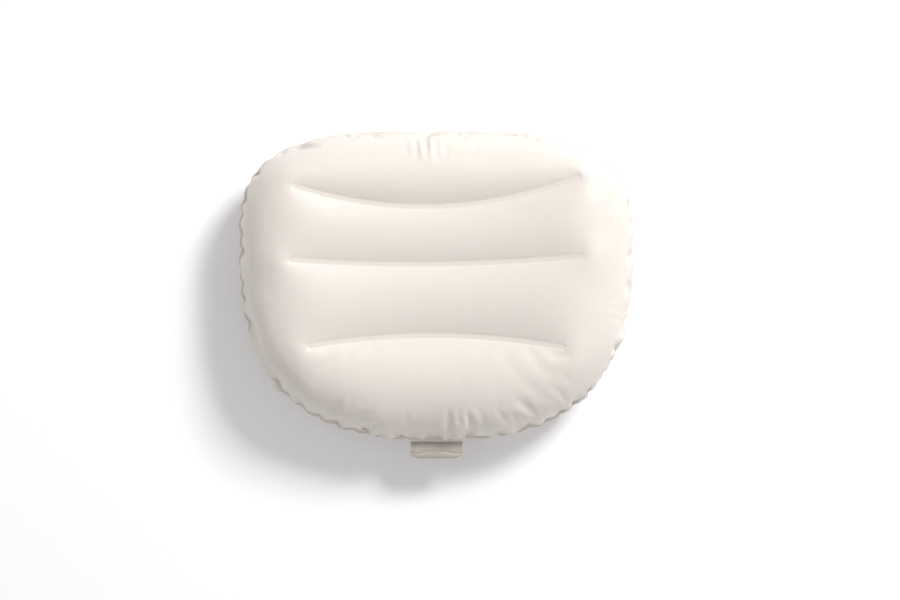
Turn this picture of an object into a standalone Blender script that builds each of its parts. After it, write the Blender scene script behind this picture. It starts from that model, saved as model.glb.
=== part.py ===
"""Inflatable camp pillow: two vinyl film panels welded round the edge, three internal baffles, a valve whose
stem sinks into the back, with a hinged plug and a check flap, and a film loop welded under the bottom edge.

The pillow lies on its back. +X is its right, +Y its top edge, +Z its front. The origin is on the ground under
the middle of the whole object's box. Lengths are in metres.
"""

import math

import bmesh
import bpy
import numpy as np
from mathutils import Matrix, Vector
from mathutils.geometry import delaunay_2d_cdt

MM = 0.001

# Films and the gaps that keep neighbouring solids apart
FILM = 0.4 * MM
GAP = 0.3 * MM

# Welded outline: two half superellipses that meet at the widest line
HALF_WIDTH = 195 * MM
TOP_RISE = 112.5 * MM
TOP_POWER = 3.25
BOTTOM_RISE = 192.5 * MM
BOTTOM_POWER = 2.62
FLANGE = 5 * MM

# Inflated shape, measured from the seam plane
SEAM_Z = 50 * MM
FRONT_CROWN = 49.45 * MM
BACK_CROWN = 51.5 * MM
EDGE_REACH = 48 * MM
WELD_HEIGHT = 35.5 * MM
WELD_WIDTH = 6 * MM
GROOVE_REACH = 34 * MM
RISE_START = 0.4 * MM
LAND_MARGIN = 0.1 * MM

# Loop under the bottom edge
LOOP_WIDTH = 51 * MM
LOOP_REACH = 16.8 * MM
LOOP_FILM = 0.5 * MM
LOOP_BULGE = 4.1 * MM
LOOP_ROOT = 0.4 * MM
TAB_DEPTH = 3.6 * MM
TAB_THICK = 0.8 * MM

# The frame's origin is under the middle of the box, so the outline sits half the loop's reach above it
BOX_HEIGHT = TOP_RISE + BOTTOM_RISE
WIDEST_Y = (BOX_HEIGHT + LOOP_REACH) / 2 - TOP_RISE
BOTTOM_Y = WIDEST_Y - BOTTOM_RISE

# Welds of the baffles: y at the middle, y at the ends and half length, with y measured from the widest line
WELDS = {
    "upper_baffle": (36.7 * MM, 61.4 * MM, 139 * MM),
    "middle_baffle": (-19.1 * MM, -13.0 * MM, 142.5 * MM),
    "lower_baffle": (-88.2 * MM, -99.0 * MM, 124 * MM),
}

# Valve: its axis leans out and down from the left side of the back panel
VALVE_TILT = math.radians(36)
VALVE_CENTRE = Vector((-176.2 * MM, WIDEST_Y - 48 * MM, 18.9 * MM))
VALVE_FLAT = 15.5 * MM
VALVE_BLEND = 26 * MM
HOLE_RADIUS = 8.5 * MM
FLANGE_RADIUS = 13 * MM
THROAT_RADIUS = 6.7 * MM
STEM_OUTER = 6.3 * MM
STEM_BORE = 4.5 * MM
STEM_TOP = 2.6 * MM
STEM_FOOT = -13 * MM
PLUG_HINGE = (9.6 * MM, 3.1 * MM)
FLAP_HINGE = (7.0 * MM, -13.7 * MM)

# Mesh density: rings of points inside the outline, rows beside each weld, and a lattice between them
OUTLINE_COUNT = 88
SMOOTH_OUTLINE = 600
RING_INSETS = (0, FLANGE, 6.2 * MM, 10 * MM, 17 * MM, 28 * MM)
WELD_POINTS = 23
BESIDE_POINTS = 17
BESIDE_WELD = 9 * MM
LATTICE_STEP = 15 * MM
LATTICE_MARGIN = 32 * MM
LATTICE_GAP = 8 * MM
VALVE_RINGS = ((VALVE_FLAT, 20), (10.5 * MM, 16), (4 * MM, 6))
VALVE_MARGIN = 3 * MM
BAFFLE_POINTS = 25
ROUND_SEGMENTS = 32


def clear_scene():
    for obj in list(bpy.data.objects):
        bpy.data.objects.remove(obj)


def material(name, colour, roughness, alpha=1.0):
    made = bpy.data.materials.new(name)
    made.use_nodes = True
    shader = made.node_tree.nodes["Principled BSDF"]
    shader.inputs["Base Color"].default_value = (*colour, 1)
    shader.inputs["Roughness"].default_value = roughness
    shader.inputs["Metallic"].default_value = 0
    shader.inputs["Alpha"].default_value = alpha
    return made


def add_object(name, mesh, look):
    obj = bpy.data.objects.new(name, mesh)
    bpy.context.scene.collection.objects.link(obj)
    mesh.materials.append(look)
    return obj


def mesh_from_bmesh(name, bm, smooth_angle=None):
    """Turns bm into a mesh whose faces point outwards, shaded smooth below smooth_angle."""
    bmesh.ops.recalc_face_normals(bm, faces=bm.faces)
    mesh = bpy.data.meshes.new(name)
    bm.to_mesh(mesh)
    bm.free()
    if smooth_angle:
        mesh.shade_smooth()
        mesh.set_sharp_from_angle(angle=math.radians(smooth_angle))
    return mesh


def outline(count, inset=0.0):
    """Points at equal steps along the welded outline, moved inwards by inset."""
    turn = np.linspace(0, 2 * math.pi, 2880, endpoint=False)
    cosine, sine = np.cos(turn), np.sin(turn)
    power = np.where(sine >= 0, TOP_POWER, BOTTOM_POWER)
    rise = np.where(sine >= 0, TOP_RISE, BOTTOM_RISE)
    x = HALF_WIDTH * np.sign(cosine) * np.abs(cosine) ** (2 / power)
    y = WIDEST_Y + rise * np.sign(sine) * np.abs(sine) ** (2 / power)
    fine = np.column_stack([x, y])
    closed = np.vstack([fine, fine[:1]])
    along = np.concatenate([[0], np.cumsum(np.linalg.norm(np.diff(closed, axis=0), axis=1))])
    stops = np.linspace(0, along[-1], count, endpoint=False)
    points = np.column_stack([np.interp(stops, along, closed[:, axis]) for axis in (0, 1)])
    tangent = np.roll(points, -1, axis=0) - np.roll(points, 1, axis=0)
    tangent /= np.linalg.norm(tangent, axis=1)[:, None]
    return points + inset * np.column_stack([-tangent[:, 1], tangent[:, 0]])


def weld_line(name, count, offset=0.0):
    """Points along a baffle's weld, a shallow parabola, moved up the panel by offset."""
    middle, end, half = WELDS[name]
    x = np.linspace(-half, half, count)
    return np.column_stack([x, WIDEST_Y + middle + (end - middle) * (x / half) ** 2 + offset])


def nearest(points, line):
    return np.linalg.norm(points[:, None] - line[None], axis=2).min(axis=1)


def crown_height(points, crown):
    """Height of the inflated film above the seam plane: a rounded edge, a crown and a groove at each weld."""
    inside = nearest(points, outline(SMOOTH_OUTLINE)) - FLANGE - RISE_START
    rise = np.clip(inside / (EDGE_REACH - FLANGE), 0, 1)
    dome = crown * np.sqrt(1 - (1 - rise) ** 2)
    groove = np.zeros(len(points))
    for name in WELDS:
        beside = nearest(points, weld_line(name, SMOOTH_OUTLINE)) - WELD_WIDTH / 2 - LAND_MARGIN
        groove = np.maximum(groove, np.clip(1 - beside / GROOVE_REACH, 0, 1) ** 2)
    return dome - groove * np.maximum(dome - WELD_HEIGHT, 0)


def is_inside(points):
    """Whether each point lies within the outline."""
    across = np.abs(points[:, 0]) / HALF_WIDTH
    up = points[:, 1] - WIDEST_Y
    power = np.where(up >= 0, TOP_POWER, BOTTOM_POWER)
    rise = np.where(up >= 0, TOP_RISE, BOTTOM_RISE)
    return across ** power + (np.abs(up) / rise) ** power < 1


def panel_points():
    """(points, edges) of a panel's flat triangulation."""
    points = np.vstack([outline(OUTLINE_COUNT, inset) for inset in RING_INSETS])
    edges = [
        (ring * OUTLINE_COUNT + i, ring * OUTLINE_COUNT + (i + 1) % OUTLINE_COUNT)
        for ring in (0, 1)
        for i in range(OUTLINE_COUNT)
    ]
    for name in WELDS:
        for side in (-1, 1):
            line = weld_line(name, WELD_POINTS, side * WELD_WIDTH / 2)
            edges += [(len(points) + i, len(points) + i + 1) for i in range(len(line) - 1)]
            points = np.vstack([points, line])
        for side in (-1, 1):
            beside = weld_line(name, BESIDE_POINTS, side * (WELD_WIDTH / 2 + BESIDE_WELD))
            points = np.vstack([points, beside])
    columns = np.arange(-HALF_WIDTH, HALF_WIDTH, LATTICE_STEP) + LATTICE_STEP / 2
    rows = np.arange(BOTTOM_Y, BOTTOM_Y + BOX_HEIGHT, LATTICE_STEP)
    lattice = np.array([(x, y) for y in rows for x in columns])
    from_edge = nearest(lattice, outline(SMOOTH_OUTLINE))
    keep = is_inside(lattice) & (from_edge > LATTICE_MARGIN) & (nearest(lattice, points) > LATTICE_GAP)
    return np.vstack([points, lattice[keep]]), edges


def flatten_at_valve(points):
    """Moves the film onto the valve's plane within VALVE_FLAT of its axis, and eases off to VALVE_BLEND."""
    centre, axis = np.array(VALVE_CENTRE), np.array(valve_matrix().col[2].xyz)
    away = points - centre
    above = away @ axis
    radius = np.linalg.norm(away - above[:, None] * axis, axis=1)
    ease = np.clip((VALVE_BLEND - radius) / (VALVE_BLEND - VALVE_FLAT), 0, 1)
    ease = ease * ease * (3 - 2 * ease) * (np.abs(above) < VALVE_BLEND / 2)
    return points - (ease * above)[:, None] * axis


def valve_ring_points():
    """Seen from above, circles round the valve's axis that lie on its plane, for a clean flat seat."""
    matrix = valve_matrix()
    circles = []
    for radius, count in VALVE_RINGS:
        for i in range(count):
            turn = 2 * math.pi * i / count
            spot = matrix @ Vector((radius * math.cos(turn), radius * math.sin(turn), 0))
            circles.append((spot.x, spot.y))
    return np.array(circles)


def panel_mesh(name, is_front):
    """The film's outer surface as a sheet of triangles, before it is given its thickness."""
    points, edges = panel_points()
    if not is_front:
        seat = valve_ring_points()
        centre_xy = np.array(VALVE_CENTRE)[None, :2]
        spread = (points - centre_xy) / np.array([[math.sin(VALVE_TILT), 1.0]])
        beyond = np.linalg.norm(spread, axis=1) > VALVE_FLAT + VALVE_MARGIN
        used = {i for edge in edges for i in edge}
        keep = np.array([bool(beyond[i]) or i in used for i in range(len(points))])
        index = np.cumsum(keep) - 1
        edges = [(int(index[a]), int(index[b])) for a, b in edges]
        points = np.vstack([points[keep], seat])
    loop = list(range(OUTLINE_COUNT))
    flat, _, faces, _, _, _ = delaunay_2d_cdt([Vector(p) for p in points], edges, [loop], 1, 1e-7)
    xy = np.array([tuple(p) for p in flat])
    base = GAP / 2 + FILM
    if is_front:
        z = SEAM_Z + base + crown_height(xy, FRONT_CROWN)
        solid = np.column_stack([xy, z])
    else:
        z = np.maximum(SEAM_Z - base - crown_height(xy, BACK_CROWN), 0)
        solid = flatten_at_valve(np.column_stack([xy, z]))
    mesh = bpy.data.meshes.new(name)
    mesh.from_pydata(solid.tolist(), [], [face if is_front else face[::-1] for face in faces])
    mesh.shade_smooth()
    return mesh


def add_panel(name, is_front, look):
    obj = add_object(name, panel_mesh(name, is_front), look)
    thicken = obj.modifiers.new("film_thickness", "SOLIDIFY")
    thicken.thickness = FILM
    thicken.offset = -1
    thicken.use_even_offset = True
    return obj


def add_baffle(name, look):
    """An I-shaped strip along its weld: a thin web with a land at the front film and one at the back film."""
    reach = GAP / 2 + WELD_HEIGHT - GAP
    land = WELD_WIDTH / 2 - 0.5 * MM
    web = FILM / 2
    inner = reach - FILM
    section = [(-land, reach), (-land, inner), (-web, inner)]
    section += [(-web, -inner), (-land, -inner), (-land, -reach)]
    section += [(-y, -z) for y, z in section]
    bm = bmesh.new()
    loops = []
    for x, y in weld_line(name, BAFFLE_POINTS):
        loops.append([bm.verts.new((x, y + dy, SEAM_Z + dz)) for dy, dz in section])
    for here, beyond in zip(loops, loops[1:]):
        for i in range(len(section)):
            j = (i + 1) % len(section)
            bm.faces.new((here[i], here[j], beyond[j], beyond[i]))
    bm.faces.new(loops[0])
    bm.faces.new(loops[-1])
    return add_object(name, mesh_from_bmesh(name, bm, 30), look)


def turned(name, profile):
    """A closed mesh turned about Z from a closed profile of (radius, height) points."""
    bm = bmesh.new()
    rings = []
    for radius, height in profile:
        if radius == 0:
            rings.append([bm.verts.new((0, 0, height))] * ROUND_SEGMENTS)
            continue
        turns = [2 * math.pi * i / ROUND_SEGMENTS for i in range(ROUND_SEGMENTS)]
        rings.append([bm.verts.new((radius * math.cos(t), radius * math.sin(t), height)) for t in turns])
    for ring, following in zip(rings, rings[1:] + rings[:1]):
        for i in range(ROUND_SEGMENTS):
            j = (i + 1) % ROUND_SEGMENTS
            corners = list(dict.fromkeys((ring[i], ring[j], following[j], following[i])))
            if len(corners) > 2:
                bm.faces.new(corners)
    return mesh_from_bmesh(name, bm, 40)


def strip_mesh(name, start, end, half_width, bottom, top):
    """A flat strip along local X whose ends are half round."""
    arc = [math.pi * i / 8 - math.pi / 2 for i in range(9)]
    reach = half_width * 0.55
    corners = [(end - reach + reach * math.cos(t), half_width * math.sin(t)) for t in arc]
    corners += [(start + reach - reach * math.cos(t), -half_width * math.sin(t)) for t in arc]
    bm = bmesh.new()
    low = [bm.verts.new((x, y, bottom)) for x, y in corners]
    face = bm.faces.new(low)
    grown = bmesh.ops.extrude_face_region(bm, geom=[face])
    raised = [v for v in grown["geom"] if isinstance(v, bmesh.types.BMVert)]
    bmesh.ops.translate(bm, verts=raised, vec=(0, 0, top - bottom))
    return mesh_from_bmesh(name, bm)


def valve_matrix():
    """Local axes of the valve: X towards the plug's hinge, Z out of the pillow along the stem."""
    out = Vector((-math.cos(VALVE_TILT), 0, -math.sin(VALVE_TILT)))
    towards_hinge = Vector((0, 1, 0))
    across = out.cross(towards_hinge)
    rotation = Matrix((towards_hinge, across, out)).transposed()
    return Matrix.Translation(VALVE_CENTRE) @ rotation.to_4x4()


def place_on_valve(obj, pivot=(0, 0)):
    """Gives obj its place on the valve, with its origin at pivot: (along X, along Z) in the valve's axes."""
    offset = Vector((pivot[0], 0, pivot[1]))
    obj.data.transform(Matrix.Translation(-offset))
    obj.matrix_world = valve_matrix() @ Matrix.Translation(offset)


def unite(obj, extra, pivot=(0, 0)):
    """Joins extra to obj with a Boolean and hides the helper."""
    place_on_valve(extra, pivot)
    extra.hide_render = True
    extra.display_type = "WIRE"
    join = obj.modifiers.new("join_" + extra.name, "BOOLEAN")
    join.operation = "UNION"
    join.object = extra


def cut_valve_hole(panel, look):
    cutter = add_object("valve_hole_cutter", turned("valve_hole_cutter", [
        (0, -4 * MM), (HOLE_RADIUS, -4 * MM), (HOLE_RADIUS, 4 * MM), (0, 4 * MM),
    ]), look)
    place_on_valve(cutter)
    cutter.hide_render = True
    cutter.display_type = "WIRE"
    cut = panel.modifiers.new("valve_hole", "BOOLEAN")
    cut.operation = "DIFFERENCE"
    cut.object = cutter


def add_valve(look, plug_look):
    weld_top = -FILM - GAP
    weld_bottom = weld_top - 0.9 * MM
    collar = HOLE_RADIUS - GAP
    lip = HOLE_RADIUS + 1.1 * MM
    flange = add_object("valve_flange", turned("valve_flange", [
        (THROAT_RADIUS, weld_bottom), (FLANGE_RADIUS, weld_bottom), (FLANGE_RADIUS, weld_top),
        (collar, weld_top), (collar, GAP), (lip, GAP), (lip, GAP + 0.6 * MM), (THROAT_RADIUS, GAP + 0.6 * MM),
    ]), look)
    place_on_valve(flange)

    stop = THROAT_RADIUS + 0.9 * MM
    stem = add_object("valve_stem", turned("valve_stem", [
        (STEM_BORE, STEM_FOOT), (stop, STEM_FOOT), (stop, STEM_FOOT + 0.8 * MM),
        (STEM_OUTER, STEM_FOOT + 0.8 * MM), (STEM_OUTER, STEM_TOP), (STEM_BORE, STEM_TOP),
    ]), look)
    place_on_valve(stem)
    lug = strip_mesh("stem_lug", 5 * MM, 10.4 * MM, 2.6 * MM, 1.3 * MM, 2.2 * MM)
    unite(stem, add_object("stem_lug", lug, look))

    head_bottom = STEM_TOP + GAP
    head_top = head_bottom + 1.3 * MM
    plug = add_object("valve_plug", turned("valve_plug", [
        (0, -2.2 * MM), (2.6 * MM, -2.2 * MM), (3.0 * MM, -1.8 * MM), (4.2 * MM, head_bottom),
        (6.9 * MM, head_bottom), (6.9 * MM, head_top - 0.4 * MM), (6.5 * MM, head_top), (0, head_top),
    ]), plug_look)
    place_on_valve(plug, PLUG_HINGE)
    strap_bottom, strap_top = head_bottom + 0.15 * MM, head_bottom + 0.8 * MM
    strap = strip_mesh("plug_strap", -10.5 * MM, 9.9 * MM, 2.3 * MM, strap_bottom, strap_top)
    unite(plug, add_object("plug_strap", strap, plug_look), PLUG_HINGE)

    flap_top = STEM_FOOT - GAP
    flap = add_object("check_flap", turned("check_flap", [
        (0, flap_top - 0.8 * MM), (6.2 * MM, flap_top - 0.8 * MM), (6.2 * MM, flap_top), (0, flap_top),
    ]), look)
    place_on_valve(flap, FLAP_HINGE)
    ear = strip_mesh("flap_ear", 4 * MM, 7.4 * MM, 2.2 * MM, flap_top - 0.7 * MM, flap_top - 0.1 * MM)
    unite(flap, add_object("flap_ear", ear, look), FLAP_HINGE)


def add_box(name, low, high, look):
    bm = bmesh.new()
    bmesh.ops.create_cube(bm, size=1)
    middle = [(a + b) / 2 for a, b in zip(low, high)]
    sides = [b - a for a, b in zip(low, high)]
    bmesh.ops.scale(bm, vec=sides, verts=bm.verts)
    bmesh.ops.translate(bm, vec=middle, verts=bm.verts)
    return add_object(name, mesh_from_bmesh(name, bm), look)


def loop_section(bulge, start):
    """Upper half of a drop shape, from the root at start to the fold: (distance from the hinge, height)."""
    centre = LOOP_REACH - LOOP_ROOT - LOOP_BULGE
    lean = math.asin(bulge / (centre - start))
    turns = [(math.pi / 2 + lean) * (1 - i / 8) for i in range(9)]
    return [(centre + bulge * math.cos(t), bulge * math.sin(t)) for t in turns]


def add_loop(look):
    """The film loop: a weld tab under the back panel's edge, and the drop-shaped loop that swings from it."""
    half = LOOP_WIDTH / 2
    tab_top = SEAM_Z - GAP / 2 - FILM - GAP
    hinge_z = tab_top - TAB_THICK / 2
    add_box(
        "loop_weld_tab",
        (-half + 0.5 * MM, BOTTOM_Y + 0.4 * MM, tab_top - TAB_THICK),
        (half - 0.5 * MM, BOTTOM_Y + TAB_DEPTH, tab_top),
        look,
    )
    hinge_y = BOTTOM_Y - LOOP_ROOT
    root = 0.35 * MM
    outer = [(0.0, root), *loop_section(LOOP_BULGE, -1.2 * MM)]
    outer += [(y, -z) for y, z in reversed(outer[:-1])]
    inner_half = loop_section(LOOP_BULGE - LOOP_FILM, 1.2 * MM)
    inner = [(1.6 * MM, 0.0), *inner_half, *[(y, -z) for y, z in reversed(inner_half[:-1])]]
    bm = bmesh.new()
    rings = []
    for section in (outer, inner):
        for x in (-half, half):
            rings.append([bm.verts.new((x, -y, z)) for y, z in section])
    outer_left, outer_right, inner_left, inner_right = rings
    for left, right in ((outer_left, outer_right), (inner_left, inner_right)):
        for i in range(len(left)):
            j = (i + 1) % len(left)
            bm.faces.new((left[i], left[j], right[j], right[i]))
    for big, small in ((outer_left, inner_left), (outer_right, inner_right)):
        sides = [(a, b) for ring in (big, small) for a, b in zip(ring, ring[1:] + ring[:1])]
        edges = [bm.edges.get(side) for side in sides]
        bmesh.ops.triangle_fill(bm, edges=edges, use_beauty=True)
    loop = add_object("strap_loop", mesh_from_bmesh("strap_loop", bm, 40), look)
    loop.location = (0, hinge_y, hinge_z)


def main():
    clear_scene()
    film = material("cream_film", (0.86, 0.80, 0.74), 0.42)
    baffle_film = material("baffle_film", (0.84, 0.80, 0.75), 0.45)
    clear_vinyl = material("valve_vinyl", (0.80, 0.76, 0.70), 0.25, 0.85)
    loop_film = material("loop_film", (0.70, 0.65, 0.59), 0.35)
    add_panel("front_panel", True, film)
    back = add_panel("back_panel", False, film)
    cut_valve_hole(back, film)
    for name in WELDS:
        add_baffle(name, baffle_film)
    add_valve(clear_vinyl, clear_vinyl)
    add_loop(loop_film)


main()
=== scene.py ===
"""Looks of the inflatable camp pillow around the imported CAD: puckered film, weld marks, valve and loop.

The film is simulated. Its rest lengths are those of a smooth pillow, with extra length along the welded edge,
and air pressure buckles that extra length into puckers. Lengths are in metres, in the CAD's frame.
"""

import math

import bmesh
import bpy
import numpy as np
from mathutils import Matrix, Vector
from mathutils.geometry import delaunay_2d_cdt


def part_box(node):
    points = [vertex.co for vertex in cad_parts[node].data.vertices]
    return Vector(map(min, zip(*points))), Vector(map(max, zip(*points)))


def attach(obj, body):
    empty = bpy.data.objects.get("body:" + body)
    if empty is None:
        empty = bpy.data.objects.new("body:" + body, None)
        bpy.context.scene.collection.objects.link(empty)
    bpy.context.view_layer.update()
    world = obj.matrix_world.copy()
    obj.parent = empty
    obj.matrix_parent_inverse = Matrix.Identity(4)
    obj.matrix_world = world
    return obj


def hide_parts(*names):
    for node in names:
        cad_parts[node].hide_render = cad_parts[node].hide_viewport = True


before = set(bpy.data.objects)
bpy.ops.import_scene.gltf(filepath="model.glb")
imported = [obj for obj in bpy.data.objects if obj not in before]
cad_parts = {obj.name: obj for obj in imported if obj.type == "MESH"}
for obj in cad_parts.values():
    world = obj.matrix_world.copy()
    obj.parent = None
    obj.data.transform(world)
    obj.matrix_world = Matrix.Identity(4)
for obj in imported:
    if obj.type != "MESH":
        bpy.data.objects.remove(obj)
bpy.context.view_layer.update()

MM = 0.001

# Outline, welds and valve as in the CAD, with a narrower flat flange and weld ends that rise to the crown
HALF_WIDTH = 195 * MM
TOP_RISE, TOP_POWER = 112.5 * MM, 3.25
BOTTOM_RISE, BOTTOM_POWER = 192.5 * MM, 2.62
WIDEST_Y = 48.4 * MM
SEAM_Z = 50 * MM
FLANGE = 3 * MM
WELDS = (  # y at the middle and the ends from the widest line, half length, slope to the right, end rise
    (36.7 * MM, 61.4 * MM, 139.0 * MM, 0.0315, 11.5 * MM),
    (-19.1 * MM, -13.0 * MM, 142.5 * MM, 0.0134, 15.0 * MM),
    (-88.2 * MM, -99.0 * MM, 124.0 * MM, -0.005, 13.5 * MM),
)
OUTLINE_SAMPLES, ROUGH_COUNT = 5760, 400
WELD_HALF_WIDTH = 2.7 * MM
WELD_LIP = 0.6 * MM
WELD_DEPTH = 0.45 * MM
WELD_HEIGHT = 36.4 * MM
WELD_HIGHEST = {"front": 52.0 * MM, "back": 48.6 * MM}
VALVE_CENTRE = np.array([-176.2, 0.4, 18.9]) * MM
VALVE_TILT = math.radians(36)
VALVE_OUT = np.array([-math.cos(VALVE_TILT), 0, -math.sin(VALVE_TILT)])
VALVE_FLAT = 15.5 * MM
HOLE_RADIUS, CUTTER_DEPTH = 8.5 * MM, 8 * MM

# Film
FILM = 0.35 * MM
CROWNS = {"front": 49.2 * MM, "back": 51.5 * MM}
EDGE_REACH = 45 * MM
SAG, SAG_REACH = 9 * MM, 128 * MM
EDGE_RADIUS = 46 * MM
GROOVE_REACH = 34 * MM
TAB_HALF, TAB_EASE = 26 * MM, 4 * MM

# Puckers: extra length round the edge, shallow notches between scallops, deep pleats and their folds
EXCESS, EXCESS_REACH = 0.14, 22 * MM
PLEAT_EXCESS, PLEAT_REACH, PLEAT_CONTRAST = 0.45, 1.6, 4
SCALLOP, SCALLOP_DEPTH, SCALLOP_WIDTH = 17.5 * MM, 4.2 * MM, 5.0 * MM
SCALLOP_SHIFT, SCALLOP_LEAST = 0.22, 0.6
STRAIGHT_TOP, STRAIGHT_EASE, STRAIGHT_SHARE = 115 * MM, 1.3, 0.9
PLEAT_DEPTH, PLEAT_WIDTH, PLEAT_SPREAD = 8.5 * MM, 4.0 * MM, 2.5
PLEAT_SEEN = 0.8 * MM
NOTCH_LENGTH = 9 * MM
PLEATS = (  # angle round the middle in degrees, strength
    (94.2, 1.0), (-80.3, 1.0), (22.0, 0.7), (-10.5, 0.7), (159.7, 0.45), (-20.0, 0.4), (-27.2, 0.5),
    (-35.0, 0.4), (-41.0, 0.45), (-50.6, 0.35), (134.1, 0.3), (142.0, 0.35), (147.5, 0.35),
)
FOLD, FOLD_PITCH, FOLD_SPREAD, FOLD_CONTRAST = 3.2 * MM, 9.5 * MM, 12 * MM, 5
FOLD_FROM_SEAM, FOLD_LENGTH = 28 * MM, 20 * MM
SEAM_WAVE, SEAM_WAVES, SEAM_DRIFTS = 0.5 * MM, 23, 5
MIDDLE = np.array([0, WIDEST_Y - (BOTTOM_RISE - TOP_RISE) / 2])

# Loop: a strip folded back on itself, with a crease, and a bead beside its weld
LOOP_REACH, LOOP_CORNER, LOOP_SQUARE = 16.4 * MM, 4.5 * MM, 7
LOOP_FILM, LOOP_GAP = 0.45 * MM, 0.6 * MM
LOOP_ROOT = 0.4 * MM
LOOP_FLATTER = 0.35
LOOP_BLUNT, LOOP_FULL = 0.8, 0.35
LOOP_LENS, LOOP_LENS_BEND = 7.0 * MM, 0.75
LOOP_CREASE, LOOP_CREASE_WIDTH = 0.9 * MM, 0.9 * MM
LOOP_BEAD_AT, LOOP_BEAD, LOOP_BEAD_WIDTH = 2.6 * MM, 0.6 * MM, 0.6 * MM
LOOP_STEPS, LOOP_COLUMNS = 72, 40

# Simulation
EDGE_STEP = 3.0 * MM
INNER_STEP = 6.6 * MM
WELD_STEP = 4.5 * MM
WELD_ROUND = 9
FINE_BEYOND = 6 * MM
LATTICE_X, LATTICE_Y = (-0.24, 0.24), (-0.19, 0.21)
STEPS = 900
PRESSURE, PRESSURE_LEAST, PRESSURE_FALL = 0.35, 0.08, 1.6
DAMPING = 0.97
BEND_SOFTNESS = 3.0
FLOOR_GAP = 0.15 * MM
VALVE_GAP = 0.05 * MM

# Stage
CAMERA_AT, LENS = (0.0133, -0.0054, 2.143), 85
KEY_TOWARDS, KEY_DISTANCE, KEY_SIZE, KEY_POWER = (0.56, 0.64, 0.80), 3.0, 0.85, 79
SKY = 0.60
FLOOR_COLOUR = (0.955, 0.955, 0.975, 1)


# ---- Shape of the smooth pillow ----

def outline(count):
    """Points at equal steps along the outline, and the inward normals there."""
    turn = np.linspace(0, 2 * math.pi, OUTLINE_SAMPLES, endpoint=False)
    cosine, sine = np.cos(turn), np.sin(turn)
    power = np.where(sine >= 0, TOP_POWER, BOTTOM_POWER)
    rise = np.where(sine >= 0, TOP_RISE, BOTTOM_RISE)
    x = HALF_WIDTH * np.sign(cosine) * np.abs(cosine) ** (2 / power)
    y = WIDEST_Y + rise * np.sign(sine) * np.abs(sine) ** (2 / power)
    closed = np.column_stack([x, y])[np.r_[0:len(x), 0]]
    along = np.concatenate([[0], np.cumsum(np.linalg.norm(np.diff(closed, axis=0), axis=1))])
    stops = np.linspace(0, along[-1], count, endpoint=False)
    points = np.column_stack([np.interp(stops, along, closed[:, axis]) for axis in (0, 1)])
    tangent = np.roll(points, -1, axis=0) - np.roll(points, 1, axis=0)
    tangent /= np.linalg.norm(tangent, axis=1)[:, None]
    return points, np.column_stack([-tangent[:, 1], tangent[:, 0]])


def nearest(points, line):
    """The distance from each point to the line's nearest point, and that point's index."""
    gaps = np.linalg.norm(points[:, None] - line[None], axis=2)
    index = gaps.argmin(axis=1)
    return gaps[np.arange(len(points)), index], index


def weld_line(weld, count, trim=0.0):
    """Points along a weld's middle line, which stops short of both ends by trim."""
    middle, end, half, slope, _ = weld
    x = np.linspace(trim - half, half - trim, count)
    return np.column_stack([x, WIDEST_Y + middle + (end - middle) * (x / half) ** 2 + slope * x])


def weld_spine(weld):
    """The weld's middle line, at the steps of the film's mesh."""
    return weld_line(weld, 2 * round(weld[2] / WELD_STEP) + 1, WELD_HALF_WIDTH)


def weld_loop(weld, half_width):
    """The outline of a weld's strip: its line moved to both sides, with round ends."""
    line = weld_spine(weld)
    turns = np.linspace(math.pi / 2, -math.pi / 2, WELD_ROUND)[1:-1]
    arc = half_width * np.column_stack([np.cos(turns), np.sin(turns)])
    up = np.array([0, half_width])
    return np.vstack([line + up, line[-1] + arc, line[::-1] - up, line[0] - arc])


def heights(plan, side, seam):
    """Height of the smooth film above the seam plane: a round edge, a crown, and a groove along each weld.

    A weld is lowest at its middle and meets the crown at its ends.
    """
    inside, _ = nearest(plan, seam)
    sag = SAG * np.clip(1 - (plan[:, 0] / SAG_REACH) ** 2, 0, 1)
    dome = (CROWNS[side] - sag) * np.sqrt(1 - (1 - np.clip(inside / EDGE_REACH, 0, 1)) ** 2)
    groove, bottom = np.zeros(len(plan)), dome
    for weld in WELDS:
        beside = nearest(plan, weld_line(weld, 200))[0] - WELD_HALF_WIDTH
        near = np.clip(1 - beside / GROOVE_REACH, 0, 1) ** 2
        height = WELD_HEIGHT + weld[4] * np.minimum(np.abs(plan[:, 0]) / weld[2], 1) ** 2
        bottom = np.where(near > groove, np.minimum(height, WELD_HIGHEST[side]), bottom)
        groove = np.maximum(groove, near)
    return dome + groove * (bottom - dome)


# ---- Mesh of one film, laid out so that its steep edge gets as many points as its crown ----

FLANGE_RING, SEAM_RING, WELD_BAND, WELD_LIP_RING, FREE = range(5)


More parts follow.
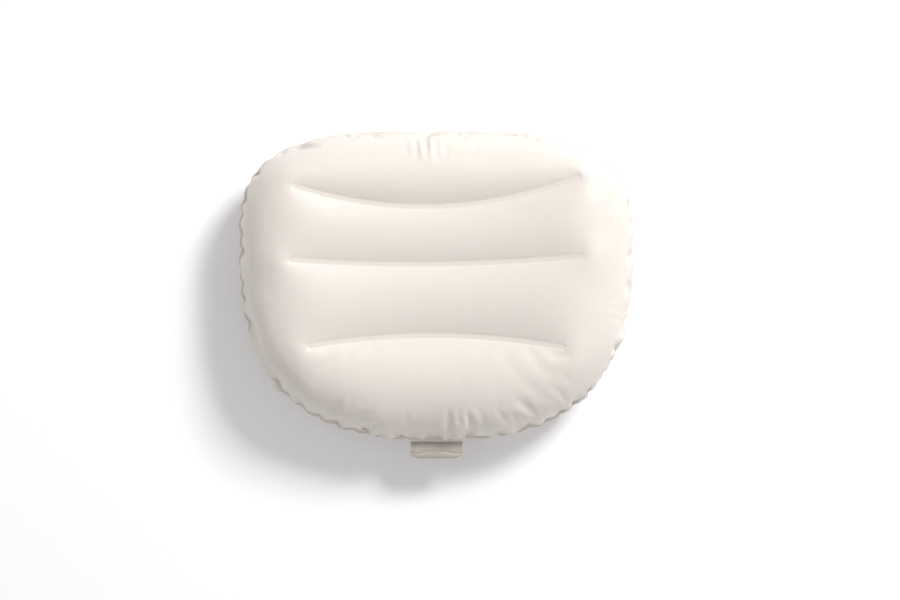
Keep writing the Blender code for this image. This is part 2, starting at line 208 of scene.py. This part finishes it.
def film_layout():
    """The mesh of one film: plan, kind, faces, from_seam, inward, ring_index and count.

    plan holds the points from above, and from_seam their distance from the seam along the film. The triangles
    are made in a layout that has the steep edge unrolled. inward and ring_index are the normal and the number
    of the seam's nearest point, and count is the number of points on the seam.
    """
    unrolled = EDGE_RADIUS * (math.pi / 2 - 1)
    rough, _ = outline(ROUGH_COUNT)
    perimeter = np.linalg.norm(rough - np.roll(rough, 1, axis=0), axis=1).sum()
    count = 2 * round((perimeter + 2 * math.pi * unrolled) / EDGE_STEP / 2)
    edge, inward = outline(count)
    seam_plan = edge + FLANGE * inward
    seam = seam_plan - unrolled * inward
    layout, plan, kind, loops = [], [], [], []
    for width in (FLANGE, FLANGE / 2, 0):
        loops.append(len(layout))
        layout.append(seam - width * inward)
        plan.append(seam_plan - width * inward)
        kind.append(np.full(count, FLANGE_RING if width else SEAM_RING))
    bands = len(layout)
    for weld in WELDS:
        inner, outer = (weld_loop(weld, width) for width in (WELD_HALF_WIDTH, WELD_HALF_WIDTH + WELD_LIP))
        loops += [len(layout) + 1, len(layout) + 2]
        for band, what in ((weld_spine(weld), WELD_BAND), (inner, WELD_BAND), (outer, WELD_LIP_RING)):
            layout.append(band)
            plan.append(band)
            kind.append(np.full(len(band), what))
    free = free_points(seam, inward, np.vstack(layout[bands:]))
    gap, index = nearest(free, seam)
    arc = np.clip(gap / EDGE_RADIUS, 0, math.pi / 2)
    pull = EDGE_RADIUS * (1 - np.cos(arc)) - arc * EDGE_RADIUS + unrolled
    layout.append(free)
    plan.append(free + pull[:, None] * inward[index])
    kind.append(np.full(len(free), FREE))
    faces = triangles(layout, loops)
    layout, plan, kind = np.vstack(layout), np.vstack(plan), np.concatenate(kind)
    from_seam, index = nearest(layout, seam)
    return plan, kind, faces, from_seam, inward[index], index, count


def free_points(seam, inward, bands):
    """Points inside the seam and clear of the welds: a fine lattice near the edge, a coarse one within."""
    fine_reach = EDGE_RADIUS + FINE_BEYOND
    grid, gap, toward = lattice_in(EDGE_STEP, seam, inward)
    near = grid[(toward > 0.6 * EDGE_STEP) & (gap < fine_reach)]
    grid, gap, toward = lattice_in(INNER_STEP, seam, inward)
    far = grid[(toward > 0) & (gap >= fine_reach + 0.3 * INNER_STEP)]
    free = np.vstack([near, far])
    return free[nearest(free, bands)[0] > 0.75 * EDGE_STEP]


def lattice_in(step, seam, inward):
    """A lattice with each point's distance from the seam, and how far it lies on the seam's inner side."""
    grid = lattice(step)
    gap, index = nearest(grid, seam)
    return grid, gap, ((grid - seam[index]) * inward[index]).sum(axis=1)


def triangles(layout, loops):
    """Triangles between all points of the layout, facing up, with edges along the numbered closed lines."""
    starts = np.cumsum([0] + [len(part) for part in layout])
    sides = []
    for k in loops:
        size = len(layout[k])
        sides += [(starts[k] + i, starts[k] + (i + 1) % size) for i in range(size)]
    points = np.vstack(layout)
    _, _, faces, *_ = delaunay_2d_cdt([Vector(p) for p in points], sides, [], 1, 1e-7)
    faces = np.array(faces)
    a, b, c = (points[faces[:, k]] for k in range(3))
    turned = (b - a)[:, 0] * (c - a)[:, 1] < (b - a)[:, 1] * (c - a)[:, 0]
    faces[turned] = faces[turned][:, ::-1]
    return faces


def lattice(step):
    """Points of a triangular lattice that covers the film."""
    rows = np.arange(*LATTICE_Y, step * math.sqrt(3) / 2)
    columns = np.arange(*LATTICE_X, step)
    return np.array([(x + step / 2 * (row % 2), y) for row, y in enumerate(rows) for x in columns])


# ---- Inflation ----

def batches(pairs, count):
    """Splits pairs of points into batches in which no point comes twice."""
    used = [set() for _ in range(count)]
    batch = np.zeros(len(pairs), int)
    for i, (a, b) in enumerate(pairs.tolist()):
        taken = used[a] | used[b]
        number = 0
        while number in taken:
            number += 1
        used[a].add(number)
        used[b].add(number)
        batch[i] = number
    return [np.where(batch == number)[0] for number in range(batch.max() + 1)]


def edges_of(faces):
    """The sides of all faces, each once."""
    sides = np.vstack([faces[:, [0, 1]], faces[:, [1, 2]], faces[:, [2, 0]]])
    return np.unique(np.sort(sides, axis=1), axis=0)


def braces_of(faces):
    """The pairs of points that face each other across an edge."""
    across = {}
    for face in faces.tolist():
        for k in range(3):
            across.setdefault(tuple(sorted((face[k], face[(k + 1) % 3]))), []).append(face[(k + 2) % 3])
    return np.array(sorted({tuple(sorted(pair)) for pair in across.values() if len(pair) == 2}))


def inflate(points, fixed, faces, springs):
    """Moves the free points until the film's springs hold the pressure on its faces.

    springs is a list of (pairs, lengths, softness). Softness 0 is the film itself, and a softer spring, which
    only pushes, stands for its stiffness in bending.
    """
    free = np.where(fixed, 0.0, 1.0)
    groups = []
    for pairs, lengths, softness in springs:
        for chosen in batches(pairs, len(points)):
            a, b = pairs[chosen].T
            share = free[a] + free[b] + softness
            moves = free[a] + free[b] > 0
            a, b, share = a[moves], b[moves], share[moves]
            groups.append((a, b, lengths[chosen][moves], (free[a] / share)[:, None],
                           (free[b] / share)[:, None], softness > 0))
    before = points.copy()
    corners = faces.ravel()
    for step in range(STEPS):
        a, b, c = (points[faces[:, k]] for k in range(3))
        push = np.repeat(np.cross(b - a, c - a), 3, axis=0)
        force = np.column_stack([np.bincount(corners, push[:, axis], len(points)) for axis in range(3)])
        pressure = PRESSURE * max(PRESSURE_LEAST, 1 - PRESSURE_FALL * step / STEPS)
        moved = points + DAMPING * (points - before) + pressure * free[:, None] * force
        before, points = points, moved
        for a, b, length, share_a, share_b, only_pushes in groups:
            gap = points[b] - points[a]
            now = np.sqrt((gap * gap).sum(axis=1))
            change = now - length
            if only_pushes:
                change = np.minimum(change, 0)
            gap *= (change / np.maximum(now, 1e-9))[:, None]
            points[a] += gap * share_a
            points[b] -= gap * share_b
        points[:, 2] = np.where(fixed, points[:, 2], np.maximum(points[:, 2], FILM + FLOOR_GAP))
    return points


def beside_pleats(plan):
    """For each pleat, how far each point is to the side of it, and the pleat's strength."""
    across, up = (plan - MIDDLE).T
    angle, radius = np.degrees(np.arctan2(up, across)), np.hypot(across, up)
    return [(np.radians((angle - at + 180) % 360 - 180) * radius, strength) for at, strength in PLEATS]


def pleat_map(plan, width):
    """How much each point belongs to a pleat, from 0 to 1."""
    amount = np.zeros(len(plan))
    for away, strength in beside_pleats(plan):
        amount = np.maximum(amount, strength * np.exp(-np.abs(away) / width))
    return amount


def folds(plan, from_seam):
    """Height of the sharp folds that run inwards from the strongest pleats."""
    height = np.zeros(len(plan))
    for away, strength in beside_pleats(plan):
        ridges = -np.cos(2 * math.pi * away / FOLD_PITCH) * np.exp(-((away / FOLD_SPREAD) ** 2))
        height += FOLD * strength ** FOLD_CONTRAST * ridges
    return height * np.exp(-(((from_seam - FOLD_FROM_SEAM) / FOLD_LENGTH) ** 2))


def seam_notches(seam):
    """How far the seam is drawn in at each of its points: pleats, and a notch between any two scallops."""
    steps = np.linalg.norm(np.roll(seam, -1, axis=0) - seam, axis=1)
    along = np.concatenate([[0], np.cumsum(steps)[:-1]])
    deep = PLEAT_DEPTH * pleat_map(seam, PLEAT_WIDTH)
    rng = np.random.default_rng(4)
    notch = np.zeros(len(seam))
    for k in range(round(steps.sum() / SCALLOP)):
        at = (k + rng.uniform(-SCALLOP_SHIFT, SCALLOP_SHIFT)) * SCALLOP
        depth = SCALLOP_DEPTH * rng.uniform(SCALLOP_LEAST, 1.0)
        away = np.abs(along - at)
        i = away.argmin()
        on_top = seam[i, 1] > WIDEST_Y and abs(seam[i, 0]) < STRAIGHT_TOP
        if on_top or deep[i] > PLEAT_SEEN:
            continue
        notch = np.maximum(notch, depth * np.exp(-np.minimum(away, steps.sum() - away) / SCALLOP_WIDTH))
    off_tab = np.clip((np.abs(seam[:, 0]) - TAB_HALF + TAB_EASE) / TAB_EASE, 0, 1)
    return np.maximum(deep, notch) * np.where(seam[:, 1] < 0, off_tab, 1)


def smooth_films(plan, kind, from_seam, seam):
    """The smooth front and back film, and which points of the back film lie flat on the valve's flange."""
    edge = kind <= SEAM_RING
    height = {}
    for side in CROWNS:
        height[side] = np.where(edge, 0, heights(plan, side, seam) + folds(plan, from_seam))
        height[side][kind == WELD_BAND] -= WELD_DEPTH
    front = np.column_stack([plan, SEAM_Z + height["front"]])
    back = np.column_stack([plan, SEAM_Z - height["back"]])
    valve_gap = back - VALVE_CENTRE
    on_valve = np.linalg.norm(valve_gap, axis=1) < VALVE_FLAT
    depth = (valve_gap @ VALVE_OUT)[on_valve] + FILM + VALVE_GAP
    back[on_valve] -= depth[:, None] * VALVE_OUT
    return front, back, on_valve


def extra_length(plan, from_seam):
    """The share of extra length along the edge: least on the straight top, most at the strongest pleats."""
    pleat = pleat_map(plan, PLEAT_SPREAD * PLEAT_WIDTH) ** PLEAT_CONTRAST
    straight_top = np.clip(STRAIGHT_EASE - np.abs(plan[:, 0]) / STRAIGHT_TOP, 0, 1) * (plan[:, 1] > WIDEST_Y)
    extra = EXCESS * (1 - STRAIGHT_SHARE * straight_top) + PLEAT_EXCESS * pleat
    reach = EXCESS_REACH * (1 + PLEAT_REACH * pleat)
    return extra * np.clip(1 - from_seam / reach, 0, 1)


def film_shapes():
    """The inflated points of the front and back film, and the faces that they share."""
    plan, kind, faces, from_seam, inward, ring_index, count = film_layout()
    seam = plan[2 * count:3 * count]
    edge = kind <= SEAM_RING
    front, back, on_valve = smooth_films(plan, kind, from_seam, seam)

    # One mesh: the films share the points of the flange and the seam
    inner = np.where(~edge)[0]
    back_index = np.arange(len(plan))
    back_index[inner] = len(plan) + np.arange(len(inner))
    points = np.vstack([front, back[inner]])
    both = np.concatenate([np.arange(len(plan)), inner])
    in_flange = (kind[faces] <= SEAM_RING).all(axis=1) & (kind[faces] == FLANGE_RING).any(axis=1)
    back_skin = back_index[faces[:, ::-1]][~in_flange]
    skin = np.vstack([faces[~in_flange], back_skin])

    extra = extra_length(plan, from_seam)[both]
    sideways = np.column_stack([-inward[:, 1], inward[:, 0], np.zeros(len(plan))])[both]

    def rest(pairs):
        gap = points[pairs[:, 1]] - points[pairs[:, 0]]
        length = np.linalg.norm(gap, axis=1)
        along = (gap * sideways[pairs].mean(axis=1)).sum(axis=1) / length
        return length * (1 + extra[pairs].mean(axis=1) * along ** 2)

    edges = edges_of(np.vstack([faces, back_skin]))
    braces = np.unique(np.vstack([braces_of(faces), braces_of(back_skin)]), axis=0)
    springs = [(edges, rest(edges), 0.0), (braces, rest(braces), BEND_SOFTNESS)]

    # The welded edge lies still, drawn in at its notches except on the tab, and the film next to it follows
    tab = edge & (np.abs(plan[:, 0]) < TAB_HALF) & (plan[:, 1] < 0)
    notch = seam_notches(seam)
    depth = notch[ring_index] * np.exp(-((from_seam / NOTCH_LENGTH) ** 2))
    around_seam = 2 * math.pi * ring_index / count
    wave = SEAM_WAVE * np.sin(SEAM_WAVES * around_seam + 2 * np.sin(SEAM_DRIFTS * around_seam)) * edge
    moved = np.column_stack([depth[:, None] * inward, wave])
    moved[tab] = 0
    start = points + moved[both]
    fixed = ((kind == WELD_BAND) | (kind == WELD_LIP_RING))[both]
    fixed |= edge[both]
    fixed[len(plan):] |= on_valve[inner]
    result = inflate(start, fixed, skin, springs)
    return {"front": result[:len(plan)], "back": result[back_index]}, faces


def film_object(name, points, faces, inside_out, look):
    """A film of even thickness, smoothed once, on the outer side of the simulated sheet."""
    mesh = bpy.data.meshes.new(name)
    mesh.from_pydata(points.tolist(), [], (faces[:, ::-1] if inside_out else faces).tolist())
    mesh.shade_smooth()
    mesh.materials.append(look)
    obj = bpy.data.objects.new(name, mesh)
    bpy.context.scene.collection.objects.link(obj)
    smooth = obj.modifiers.new("smooth", "SUBSURF")
    smooth.levels = smooth.render_levels = 1
    thick = obj.modifiers.new("film", "SOLIDIFY")
    thick.thickness = FILM
    thick.offset = 1
    return obj


def cut_valve_hole(film):
    """Cuts the round hole that the valve's collar passes through, and keeps the result as the mesh."""
    bm = bmesh.new()
    bmesh.ops.create_cone(bm, cap_ends=True, segments=64, radius1=HOLE_RADIUS, radius2=HOLE_RADIUS,
                          depth=CUTTER_DEPTH)
    mesh = bpy.data.meshes.new("valve_hole_cutter")
    bm.to_mesh(mesh)
    bm.free()
    cutter = bpy.data.objects.new("valve_hole_cutter", mesh)
    turned = Vector(VALVE_OUT).to_track_quat("Z", "Y").to_matrix().to_4x4()
    cutter.matrix_world = Matrix.Translation(VALVE_CENTRE) @ turned
    bpy.context.scene.collection.objects.link(cutter)
    cut = film.modifiers.new("valve_hole", "BOOLEAN")
    cut.operation = "DIFFERENCE"
    cut.object = cutter
    bpy.context.view_layer.update()
    whole = bpy.data.meshes.new_from_object(film.evaluated_get(bpy.context.evaluated_depsgraph_get()))
    film.modifiers.clear()
    film.data = whole
    bpy.data.objects.remove(cutter)


# ---- Loop ----

def loop_section(across, bulge):
    """(Distance out, height) pairs of the loop's section at across, which is -1 to 1 over its width."""
    reach = LOOP_REACH - LOOP_CORNER * abs(across) ** LOOP_SQUARE
    swell = bulge * (1 - LOOP_FLATTER * across ** 2)
    crease_at = reach - LOOP_LENS * (1 - LOOP_LENS_BEND * across ** 2)
    section = []
    for k in range(LOOP_STEPS + 1):
        turn = math.pi * (2 * k / LOOP_STEPS - 1)
        share = 0.5 + 0.5 * math.cos(turn)
        out = reach * share ** LOOP_BLUNT
        height = -swell * math.sin(turn) * share ** LOOP_FULL
        if turn < 0:
            height -= LOOP_CREASE * math.exp(-(((out - crease_at) / LOOP_CREASE_WIDTH) ** 2))
            height += LOOP_BEAD * math.exp(-(((out - LOOP_BEAD_AT) / LOOP_BEAD_WIDTH) ** 2))
        section.append((out, height))
    return section


def loop_object(look):
    """The film loop under the bottom edge: one strip folded back on itself, with soft corners at the fold."""
    low, high = (Vector(corner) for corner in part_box("strap_loop"))
    root_y, middle_z, half = high.y - LOOP_ROOT, (low.z + high.z) / 2, (high.x - low.x) / 2
    bm = bmesh.new()
    columns = []
    for i in range(LOOP_COLUMNS + 1):
        across = math.sin(math.pi / 2 * (2 * i / LOOP_COLUMNS - 1))
        section = loop_section(across, (high.z - low.z) / 2 - LOOP_GAP)
        columns.append([bm.verts.new((half * across, root_y - out, middle_z + z)) for out, z in section])
    for left, right in zip(columns, columns[1:]):
        for k in range(LOOP_STEPS):
            bm.faces.new((left[k], left[k + 1], right[k + 1], right[k]))
    bmesh.ops.recalc_face_normals(bm, faces=bm.faces)
    mesh = bpy.data.meshes.new("strap_loop_film")
    bm.to_mesh(mesh)
    bm.free()
    mesh.shade_smooth()
    mesh.materials.append(look)
    obj = bpy.data.objects.new("strap_loop_film", mesh)
    bpy.context.scene.collection.objects.link(obj)
    thick = obj.modifiers.new("film", "SOLIDIFY")
    thick.thickness = LOOP_FILM
    thick.offset = 0
    return obj


# ---- Materials ----

def vinyl(name, colour, roughness=0.42):
    """Soft satin film with a faint cloudy tint and a fine grain."""
    made = bpy.data.materials.new(name)
    made.use_nodes = True
    nodes, links = made.node_tree.nodes, made.node_tree.links
    shader = nodes["Principled BSDF"]
    shader.inputs["Roughness"].default_value = roughness
    shader.inputs["Subsurface Weight"].default_value = 0.15
    shader.inputs["Subsurface Radius"].default_value = (0.012, 0.009, 0.007)
    shader.inputs["Subsurface Scale"].default_value = 0.3
    where = nodes.new("ShaderNodeTexCoord")
    cloud = nodes.new("ShaderNodeTexNoise")
    cloud.inputs["Scale"].default_value = 9
    cloud.inputs["Detail"].default_value = 4
    links.new(where.outputs["Object"], cloud.inputs["Vector"])
    tint = nodes.new("ShaderNodeMix")
    tint.data_type = "RGBA"
    tint.inputs["A"].default_value = (*[0.965 * c for c in colour], 1)
    tint.inputs["B"].default_value = (*colour, 1)
    links.new(cloud.outputs["Fac"], tint.inputs["Factor"])
    links.new(tint.outputs["Result"], shader.inputs["Base Color"])
    grain = nodes.new("ShaderNodeTexNoise")
    grain.inputs["Scale"].default_value = 900
    grain.inputs["Detail"].default_value = 2
    links.new(where.outputs["Object"], grain.inputs["Vector"])
    bump = nodes.new("ShaderNodeBump")
    bump.inputs["Strength"].default_value = 0.08
    bump.inputs["Distance"].default_value = 0.0003
    links.new(grain.outputs["Fac"], bump.inputs["Height"])
    links.new(bump.outputs["Normal"], shader.inputs["Normal"])
    return made


# ---- Stage ----

def add_camera():
    data = bpy.data.cameras.new("camera")
    data.lens = LENS
    camera = bpy.data.objects.new("camera", data)
    camera.location = CAMERA_AT
    bpy.context.scene.collection.objects.link(camera)
    bpy.context.scene.camera = camera


def add_light(name, towards, distance, size, power):
    data = bpy.data.lights.new(name, "AREA")
    data.size = size
    data.energy = power
    light = bpy.data.objects.new(name, data)
    direction = Vector(towards).normalized()
    light.location = Vector((0, 0, SEAM_Z)) + distance * direction
    light.rotation_euler = (-direction).to_track_quat("-Z", "Y").to_euler()
    bpy.context.scene.collection.objects.link(light)


def add_stage():
    """A plain pale floor under an even white sky."""
    mesh = bpy.data.meshes.new("floor")
    bm = bmesh.new()
    bmesh.ops.create_grid(bm, size=6)
    bm.to_mesh(mesh)
    bm.free()
    floor = bpy.data.objects.new("floor", mesh)
    bpy.context.scene.collection.objects.link(floor)
    look = bpy.data.materials.new("floor")
    look.use_nodes = True
    shader = look.node_tree.nodes["Principled BSDF"]
    shader.inputs["Base Color"].default_value = FLOOR_COLOUR
    shader.inputs["Roughness"].default_value = 0.9
    shader.inputs["Specular IOR Level"].default_value = 0.1
    mesh.materials.append(look)
    world = bpy.data.worlds.new("world")
    world.use_nodes = True
    sky = world.node_tree.nodes["Background"]
    sky.inputs["Color"].default_value = (1, 1, 1, 1)
    sky.inputs["Strength"].default_value = SKY
    bpy.context.scene.world = world


add_camera()
add_stage()
add_light("key", KEY_TOWARDS, KEY_DISTANCE, KEY_SIZE, KEY_POWER)
bpy.context.scene.view_settings.view_transform = "Standard"

cream = vinyl("cream_vinyl", (0.77, 0.695, 0.625))
# The loop is the same cream vinyl as the pillow. Its darker colour here is painted shade, for the pillow's
# shadow that falls on it.
loop_painted_shade_look = vinyl("loop_vinyl_painted_shade", (0.48, 0.43, 0.375))
valve_look = vinyl("valve_vinyl", (0.72, 0.66, 0.60), 0.3)
shapes, faces = film_shapes()
for side in ("front", "back"):
    film = film_object(side + "_film", shapes[side], faces, side == "back", cream)
    if side == "back":
        cut_valve_hole(film)
    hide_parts(side + "_panel")
    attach(film, "pillow")
loop = loop_object(loop_painted_shade_look)
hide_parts("strap_loop")
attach(loop, "loop")
for node in ("valve_flange", "valve_stem", "valve_plug", "check_flap", "upper_baffle", "middle_baffle",
             "lower_baffle", "loop_weld_tab"):
    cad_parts[node].data.materials.clear()
    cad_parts[node].data.materials.append(valve_look)
